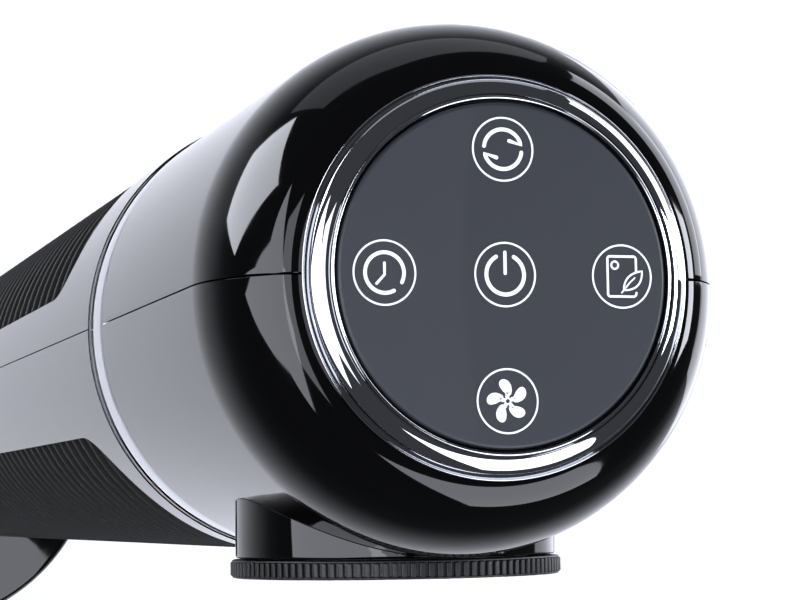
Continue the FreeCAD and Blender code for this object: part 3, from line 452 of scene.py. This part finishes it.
def sweep(radius, start, end, count=32, at=(0, 0)):
    """Points along an arc of a pictogram, in key radii and degrees."""
    angles = [math.radians(start + (end - start) * step / count) for step in range(count + 1)]
    return [(at[0] + radius * math.cos(angle), at[1] + radius * math.sin(angle)) for angle in angles]


def bow(start, pull, end, count=12):
    """Points along a bow that is pulled towards a third point."""
    shares = [step / count for step in range(count + 1)]
    return [tuple((1 - t) ** 2 * a + 2 * t * (1 - t) * p + t ** 2 * b for a, p, b in zip(start, pull, end))
            for t in shares]


KEYS = {"swing": (0, KEY_PITCH), "timer": (-KEY_PITCH, 0), "power": (0, 0), "night": (KEY_PITCH, 0),
        "speed": (0, -KEY_PITCH)}
for key in KEYS.values():
    stroke(key, sweep(1.0, 0, 360, 64)[:-1], 0.062, closed=True)

# two arrows that chase each other
SYMBOL = 0.63                          # radius of the round pictograms, in key radii
for flip in (1, -1):
    arrow = sweep(SYMBOL, 172, 14) + [(0.22, 0.27)]
    stroke(KEYS["swing"], [(flip * x, flip * y) for x, y in arrow], 0.125)

# a clock face with its hands, and the broken ring with its bar
stroke(KEYS["timer"], sweep(SYMBOL, -28, 298), 0.12)
stroke(KEYS["timer"], [(0, 0.3), (0, -0.06), (-0.26, -0.34)], 0.09)
stroke(KEYS["power"], sweep(SYMBOL, 118, 422), 0.13)
stroke(KEYS["power"], [(0, 0.7), (0, 0.04)], 0.11)

# a card with rounded corners and a dot, and a leaf with its rib over the open corner
card = [(0.49, 0.16), (0.49, 0.56)] + sweep(0.08, 0, 90, 4, (0.41, 0.56))
card += sweep(0.08, 90, 180, 4, (-0.41, 0.56)) + sweep(0.08, 180, 270, 4, (-0.41, -0.56))
card += [(0.41, -0.64), (0.47, -0.6), (0.49, -0.52)]
stroke(KEYS["night"], card, 0.08)
stroke(KEYS["night"], sweep(0.12, 0, 360, 16, (-0.24, 0.36))[:-1], 0.07, closed=True)
leaf = bow((0.05, -0.44), (0.08, 0.1), (0.7, 0.18)) + bow((0.7, 0.18), (0.7, -0.44), (0.05, -0.44))
stroke(KEYS["night"], leaf[:-1], 0.065, closed=True)
stroke(KEYS["night"], [(-0.02, -0.52), (0.05, -0.44), (0.26, -0.2), (0.44, -0.04)], 0.055)

# a fan of five leaning petals, each filled by three loops, round a small hub
for blade in range(5):
    lean = math.radians(94 + 72 * blade)
    for share in (1.0, 0.55, 0.15):
        petal = []
        for step in range(24):
            around = 2 * math.pi * step / 24
            along = 0.43 + 0.21 * share * math.cos(around)
            across = 0.02 + (0.13 + 0.05 * math.cos(around)) * share * math.sin(around)
            across += 0.08 * math.cos(around) * share
            petal.append((along * math.cos(lean) - across * math.sin(lean),
                          along * math.sin(lean) + across * math.cos(lean)))
        stroke(KEYS["speed"], petal, 0.1, closed=True)
    stroke(KEYS["speed"], [(reach * math.cos(lean), reach * math.sin(lean)) for reach in (0.14, 0.3)], 0.13)
stroke(KEYS["speed"], sweep(0.09, 0, 360, 16)[:-1], 0.05, closed=True)

pick(*reversed(marks))
bpy.ops.object.convert(target="MESH")
bpy.ops.object.join()
key_marks = bpy.context.object
key_marks.name = "key_marks"
smooth(key_marks)
settle(key_marks, "tower", "panel", ink)


# Ring. A band of chromed ABS between head and tower, moulded and plated like the bezel and snapped on
# the upper deck's collar. It is level with the head's flank, with a fine groove above it.
ring_low, ring_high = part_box("chrome_ring")
tower_low, tower_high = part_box("rear_housing")
TOWER_RADIUS = tower_high.y
ring_tall = ring_high.z - ring_low.z
RING_BORE = TOWER_RADIUS - 2.4 * MM
RING_GAP = 0.15 * MM
# each a share of the ring's height, and how many millimetres it stands out from the head's flank
RING_SWELL = ((0.08, -0.35), (0.18, -0.12), (0.32, 0.0), (0.5, 0.0), (0.68, -0.06), (0.8, -0.14),
              (0.88, -0.3), (0.93, -0.55))
ring_line = [(RING_BORE, ring_low.z + RING_GAP), (TOWER_RADIUS - 0.3 * MM, ring_low.z + RING_GAP)]
ring_line += [(HEAD_RADIUS + swell * MM, ring_low.z + share * ring_tall) for share, swell in RING_SWELL]
ring_line += [(RING_BORE, ring_high.z - RING_GAP)]
ring = lathe("body_ring", ring_line, 256, closed=True)
smooth(ring, math.radians(40))
settle(ring, "tower", "chrome", chrome, "chrome_ring")


# Tower shells. Front and rear half tubes of the same piano-black ABS, each moulded with one tall window
# for its grille. The windows' corners are broad arcs and their edges are softly rounded.
WINDOW_GAP = 0.2 * MM                  # between the window's edge and the grille in it
WINDOW_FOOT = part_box("front_grille")[0].z - WINDOW_GAP
# top of the window, half its turn round the tower in degrees, and the radius of its corners
WINDOWS = {"front": (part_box("front_grille")[1].z + WINDOW_GAP, 63, 30 * MM),
           "rear": (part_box("rear_grille")[1].z + WINDOW_GAP, 77, 28 * MM)}
FACING = {"front": -90, "rear": 90}    # degrees round the tower
PLUG_STRIPS = 48
PLUG_DEEP = 10 * MM


def wrap(piece, radius, side):
    """Bend a flat upright piece round the tower: its X becomes distance round, its Y depth."""
    for vertex in piece.data.vertices:
        angle = math.radians(FACING[side]) + vertex.co.x / radius
        reach = radius + vertex.co.y
        vertex.co = (reach * math.cos(angle), reach * math.sin(angle), vertex.co.z)


def window_plug(side):
    """The window's outline as a thick curved plug, made flat with rounded corners and then wrapped."""
    top, half_angle, corner = WINDOWS[side]
    wide = 2 * math.radians(half_angle) * TOWER_RADIUS
    nothing_selected()
    bpy.ops.mesh.primitive_plane_add(size=1, location=(0, 0, (top + WINDOW_FOOT) / 2),
                                     rotation=(math.radians(90), 0, 0))
    plug = bpy.context.object
    plug.scale = (wide, top - WINDOW_FOOT, 1)
    bpy.ops.object.transform_apply(location=True, rotation=True, scale=True)
    bpy.ops.object.mode_set(mode="EDIT")
    bpy.ops.mesh.select_all(action="SELECT")
    bpy.ops.mesh.bevel(offset=corner, segments=14, affect="VERTICES")
    for step in range(1, PLUG_STRIPS):
        bpy.ops.mesh.select_all(action="SELECT")
        bpy.ops.mesh.bisect(plane_co=(wide * (step / PLUG_STRIPS - 0.5), 0, 0), plane_no=(1, 0, 0))
    bpy.ops.mesh.select_all(action="SELECT")
    bpy.ops.mesh.extrude_region_move(TRANSFORM_OT_translate={"value": (0, PLUG_DEEP, 0)})
    bpy.ops.mesh.select_all(action="SELECT")
    bpy.ops.transform.translate(value=(0, -PLUG_DEEP / 2, 0))
    bpy.ops.mesh.normals_make_consistent(inside=False)
    bpy.ops.object.mode_set(mode="OBJECT")
    wrap(plug, TOWER_RADIUS, side)
    bpy.ops.object.mode_set(mode="EDIT")
    bpy.ops.mesh.select_all(action="SELECT")
    bpy.ops.mesh.normals_make_consistent(inside=False)
    bpy.ops.object.mode_set(mode="OBJECT")
    return plug


for side in ("front", "rear"):
    shell = half_shell(side + "_tube", side, [(TOWER_RADIUS, tower_low.z), (TOWER_RADIUS, tower_high.z)])
    cut(shell, window_plug(side))
    modify(shell, "BEVEL", **{**EDGE, "width": 0.5 * MM, "segments": 3})
    smooth(shell, math.radians(40))
    settle(shell, "tower", "gloss_black", piano_black, side + "_housing")


# Grilles. One moulding each in charcoal ABS, clipped in behind its window: level ribs that lean in
# towards their foot, tied by upright stays behind them. Near the window's round corners they are shorter.
# The mould's spark grain scatters the light, so the ribs look dull dark grey beside the polished shells.
charcoal, charcoal_shader = plain_material("abs_charcoal_spark_grain", "#0C0C0D", 0.45, IOR=1.45)
grain_place = add_node(charcoal, "ShaderNodeTexCoord")
spark = add_node(charcoal, "ShaderNodeTexNoise", [(grain_place, "Object", "Vector")],
                 {"Scale": 1 / (0.5 * MM), "Detail": 4.0})
spark_bump = add_node(charcoal, "ShaderNodeBump", [(spark, "Fac", "Height")],
                      {"Strength": 0.25, "Distance": 0.03 * MM})
link(charcoal, spark_bump, "Normal", charcoal_shader, "Normal")
spark_range = add_node(charcoal, "ShaderNodeMapRange", [(spark, "Fac", "Value")],
                       {"From Min": 0.3, "From Max": 0.7, "To Min": 0.38, "To Max": 0.55})
link(charcoal, spark_range, "Result", charcoal_shader, "Roughness")
RIB_PITCH = {"front": 11 * MM, "rear": 12.5 * MM}
RIB_TALL = 6 * MM
RIB_DEEP = 3 * MM
RIB_SLANT = 2.0 * MM
RIB_SUNK = 0.3 * MM
RIB_EDGE = 0.7 * MM
STAY_WIDE = 3 * MM
STAY_DEEP = 2 * MM


def rib(name, side, height, half_turn):
    """One level rib: a section with a leaning front and rounded corners, spun round the tower."""
    nose = TOWER_RADIUS - RIB_SUNK
    nothing_selected()
    bpy.ops.mesh.primitive_plane_add(size=1, location=(nose - RIB_DEEP / 2, 0, height),
                                     rotation=(math.radians(90), 0, 0))
    made = bpy.context.object
    made.name = name
    made.scale = (RIB_DEEP, RIB_TALL, 1)
    bpy.ops.object.transform_apply(location=True, rotation=True, scale=True)
    for vertex in made.data.vertices:
        vertex.select = vertex.co.x > nose - RIB_DEEP / 2
        if vertex.select and vertex.co.z < height:
            vertex.co.x -= RIB_SLANT
    bpy.ops.object.mode_set(mode="EDIT")
    bpy.ops.mesh.bevel(offset=RIB_EDGE, segments=3, affect="VERTICES")
    bpy.ops.mesh.select_all(action="SELECT")
    bpy.ops.mesh.delete(type="ONLY_FACE")
    bpy.ops.mesh.select_all(action="SELECT")
    bpy.ops.mesh.spin(steps=40, angle=2 * half_turn, center=(0, 0, 0), axis=(0, 0, 1))
    bpy.ops.mesh.select_all(action="DESELECT")
    bpy.ops.mesh.select_non_manifold()
    bpy.ops.mesh.edge_face_add()
    bpy.ops.mesh.select_all(action="SELECT")
    bpy.ops.mesh.normals_make_consistent(inside=False)
    bpy.ops.object.mode_set(mode="OBJECT")
    places = [vertex.co for vertex in made.data.vertices]
    middle = math.atan2(sum(place.y for place in places), sum(place.x for place in places))
    made.data.transform(Matrix.Rotation(math.radians(FACING[side]) - middle, 4, "Z"))
    return made


for side in ("front", "rear"):
    grille_low, grille_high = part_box(side + "_grille")
    top, half_angle, corner = WINDOWS[side]
    count = int((grille_high.z - grille_low.z - 6 * MM) // RIB_PITCH[side])
    pieces = []
    for number in range(count):
        height = grille_low.z + 4 * MM + RIB_PITCH[side] * (number + 0.6)
        inset = max(0.0, corner - min(height - WINDOW_FOOT, top - height))
        cut_back = corner - math.sqrt(max(corner ** 2 - inset ** 2, 0))
        half_turn = math.radians(half_angle - 0.3) - cut_back / TOWER_RADIUS
        pieces.append(rib("rib", side, height, half_turn))
    for turned in (-0.98, -0.5, 0.0, 0.5, 0.98):
        nothing_selected()
        angle = math.radians(FACING[side] + turned * (half_angle - 1.5))
        reach = TOWER_RADIUS - RIB_DEEP - STAY_DEEP / 2
        place = (reach * math.cos(angle), reach * math.sin(angle), (grille_low.z + grille_high.z) / 2)
        bpy.ops.mesh.primitive_cube_add(size=1, location=place, rotation=(0, 0, angle))
        stay = bpy.context.object
        inset = corner * 0.8 if abs(turned) > 0.9 else 2 * MM
        stay.scale = (STAY_DEEP, STAY_WIDE, grille_high.z - grille_low.z - 2 * inset)
        bpy.ops.object.transform_apply(location=True, rotation=True, scale=True)
        modify(stay, "BEVEL", width=0.4 * MM, segments=2)
        pieces.append(stay)
    pick(*reversed(pieces))
    bpy.ops.object.join()
    grille = bpy.context.object
    grille.name = side + "_ribs"
    smooth(grille, math.radians(45))
    settle(grille, "tower", "matt_black", charcoal, side + "_grille")


# Dial. A ring moulded in the same charcoal ABS, clipped on the neck so that it turns by hand. Fine upright
# ribs run round its rim between two thin lips, for grip.
DIAL_THICK = dial_high.y - dial_low.y
GRIP_RIBS = 120
GRIP_STAND = 0.75 * MM
DIAL_BORE = 31.05 * MM
LENS_LEDGE = 2.35 * MM
LENS_DEEP = 1.6 * MM
dial_line = [(DIAL_BORE, 0), (DIAL_BORE, DIAL_THICK - LENS_DEEP),
             (DIAL_BORE + LENS_LEDGE, DIAL_THICK - LENS_DEEP),
             (DIAL_BORE + LENS_LEDGE, DIAL_THICK - 0.3 * MM), (DIAL_BORE + LENS_LEDGE + 0.3 * MM, DIAL_THICK),
             (DIAL_RADIUS - 0.9 * MM, DIAL_THICK)]
dial_line += arc(DIAL_RADIUS - 0.7 * MM, DIAL_THICK - 0.35 * MM, 0.3 * MM, 90, -60, 5)
dial_line += [(DIAL_RADIUS - GRIP_STAND, DIAL_THICK - 0.75 * MM), (DIAL_RADIUS - GRIP_STAND, 0.6 * MM)]
dial_line += arc(DIAL_RADIUS - 0.65 * MM, 0.3 * MM, 0.28 * MM, 60, -90, 5)
dial = lathe("dial", dial_line, 240, closed=True)
nothing_selected()
bpy.ops.mesh.primitive_cube_add(size=1, location=(DIAL_RADIUS - GRIP_STAND * 0.55, 0, DIAL_THICK / 2))
grip = bpy.context.object
grip.scale = (GRIP_STAND * 1.1, 1.25 * MM, DIAL_THICK - 1.0 * MM)
bpy.ops.object.transform_apply(location=True, rotation=True, scale=True)
modify(grip, "BEVEL", width=0.3 * MM, segments=3)
bpy.ops.object.mode_set(mode="EDIT")
bpy.ops.mesh.select_all(action="SELECT")
bpy.ops.mesh.spin(steps=GRIP_RIBS - 1, dupli=True, angle=math.radians(360 - 360 / GRIP_RIBS),
                  center=(0, 0, 0), axis=(0, 0, 1))
bpy.ops.object.mode_set(mode="OBJECT")
pick(grip, dial)
bpy.ops.object.join()
to_front(dial, DIAL_Z)


def push_in(piece, depth):
    """Slide a piece along the front axis, in its mesh."""
    bpy.ops.object.mode_set(mode="EDIT")
    bpy.ops.mesh.select_all(action="SELECT")
    bpy.ops.transform.translate(value=(0, depth, 0))
    bpy.ops.object.mode_set(mode="OBJECT")


push_in(dial, dial_high.y)
smooth(dial, math.radians(40))
settle(dial, "dial", "matt_black", charcoal, "dial_ring")

# Display window. A disc of smoked acrylic with a fine bevel, polished and glued on the hub in the middle
# of the dial. It stays still while the ring turns, and looks black until the display behind it is lit.
smoked, smoked_shader = plain_material("acrylic_smoked_gloss", "#040405", 0.06, IOR=1.49)
smoked_place = add_node(smoked, "ShaderNodeTexCoord")
smoked_haze = add_node(smoked, "ShaderNodeTexNoise", [(smoked_place, "Object", "Vector")],
                       {"Scale": 1 / (6 * MM), "Detail": 4.0})
smoked_range = add_node(smoked, "ShaderNodeMapRange", [(smoked_haze, "Fac", "Value")],
                        {"From Min": 0.3, "From Max": 0.7, "To Min": 0.04, "To Max": 0.1})
link(smoked, smoked_range, "Result", smoked_shader, "Roughness")
lens_low, lens_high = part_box("display_window")
LENS_RADIUS = (lens_high.x - lens_low.x) / 2
lens = lathe("display_lens", [(LENS_RADIUS, 0), (LENS_RADIUS, 0.7 * MM), (LENS_RADIUS - 0.3 * MM, 1.0 * MM)],
             160, cap_start=True, cap_end=True)
to_front(lens, DIAL_Z)
push_in(lens, lens_high.y)
smooth(lens, math.radians(30))
settle(lens, "tower", "lens", smoked, "display_window")


# Base. A moulded cover of the same piano-black ABS over the weight and the bottom plate, screwed on from
# below: an upright skirt, a long soft slope and a level hub that the tower turns over.
cover_low, cover_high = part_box("base_cover")
BASE_RADIUS = cover_high.x
HUB_RADIUS = 50 * MM
SKIRT_TALL = 6 * MM
SKIRT_BEND = 5 * MM
FOOT_EDGE = 0.4 * MM
POST_HOLE = 16 * MM
cover_line = [(BASE_RADIUS - WALL, cover_low.z), (BASE_RADIUS - FOOT_EDGE, cover_low.z),
              (BASE_RADIUS, cover_low.z + FOOT_EDGE), (BASE_RADIUS, cover_low.z + SKIRT_TALL)]
cover_line += arc(BASE_RADIUS - SKIRT_BEND, cover_low.z + 13 * MM, SKIRT_BEND, 0, 80, 10)
# the slope's soft run on to the hub, the hub, and the inner side of the wall back to the foot
cover_line += [(HUB_RADIUS + 10 * MM, cover_high.z - 1.9 * MM),
               (HUB_RADIUS + 6 * MM, cover_high.z - 1.2 * MM),
               (HUB_RADIUS + 3 * MM, cover_high.z - 0.5 * MM), (HUB_RADIUS, cover_high.z),
               (POST_HOLE, cover_high.z), (POST_HOLE, cover_high.z - WALL),
               (HUB_RADIUS, cover_high.z - WALL), (HUB_RADIUS + 8 * MM, cover_high.z - 1.5 * MM - WALL),
               (BASE_RADIUS - 6 * MM, cover_low.z + 17.5 * MM - WALL),
               (BASE_RADIUS - WALL, cover_low.z + 12 * MM)]
cover = lathe("base_shell", cover_line, 256, closed=True)
smooth(cover, math.radians(30))
settle(cover, "base", "gloss_black", piano_black, "base_cover")


# Everything else: frames, drives, boards, screws and feet inside the shells or under the base. They keep
# their shape from the frame, and each takes the finish of its slot. Grains finer than a few tenths of a
# millimetre are drawn coarser than they are, so that they show at all.
def plain_look(name, colour, roughness, grain, depth, **sockets):
    """A material whose fine grain has a real size and depth, given in millimetres."""
    material, shader = plain_material(name, colour, roughness, **sockets)
    spot = add_node(material, "ShaderNodeTexCoord")
    noise = add_node(material, "ShaderNodeTexNoise", [(spot, "Object", "Vector")],
                     {"Scale": 1 / (grain * MM), "Detail": 4.0})
    bump = add_node(material, "ShaderNodeBump", [(noise, "Fac", "Height")],
                    {"Strength": 0.3, "Distance": depth * MM})
    link(material, bump, "Normal", shader, "Normal")
    shine = add_node(material, "ShaderNodeMapRange", [(noise, "Fac", "Value")],
                     {"From Min": 0.3, "From Max": 0.7,
                      "To Min": roughness - 0.06, "To Max": roughness + 0.06})
    link(material, shine, "Result", shader, "Roughness")
    return material


SLOT_LOOKS = {
    "gloss_black": piano_black,
    "matt_black": charcoal,
    "chrome": chrome,
    "panel": panel_black,
    "lens": smoked,
    # glass-filled polypropylene for frames and the fan wheel: dull black, faintly mottled
    "inner_plastic": plain_look("polypropylene_black_moulded", "#161617", 0.5, 0.8, 0.03),
    # moulded rubber for feet and motor mounts: flat black, with almost no shine
    "rubber": plain_look("rubber_black_moulded", "#101011", 0.75, 0.5, 0.05),
    # drawn steel with a zinc plate: light grey with a soft metal shine
    "steel": plain_look("steel_zinc_plated", "#B9BCC0", 0.28, 0.6, 0.01, Metallic=1.0),
    # cast iron, thinly painted: rough dark grey
    "iron": plain_look("iron_cast_painted", "#3C3D3F", 0.6, 1.2, 0.08, Metallic=0.6),
    # pressed sheet steel: mid grey, a little hazy from the press
    "motor_case": plain_look("steel_sheet_pressed", "#9DA0A3", 0.35, 1.5, 0.02, Metallic=1.0),
    # acetal in its own colour for gears and slides: milky white with a waxy shine
    "acetal": plain_look("acetal_natural_white", "#E9E8E2", 0.4, 0.9, 0.01),
    # sintered bronze, soaked in oil: brown gold and finely speckled
    "bronze": plain_look("bronze_sintered_oiled", "#9A6B3B", 0.42, 0.4, 0.02, Metallic=1.0),
    # glass-fibre board under green solder mask, and the dark resin bodies of the parts on it
    "circuit": plain_look("circuit_board_green_mask", "#1E4D2B", 0.35, 0.7, 0.01),
    "component": plain_look("component_resin_dark", "#232427", 0.5, 0.6, 0.02),
}
for subpart in frame["record"]["subparts"]:
    node = frame["nodes"][subpart["node"]]
    if not node.hide_render:
        node.data.materials.clear()
        node.data.materials.append(SLOT_LOOKS[subpart["material_slot"]])
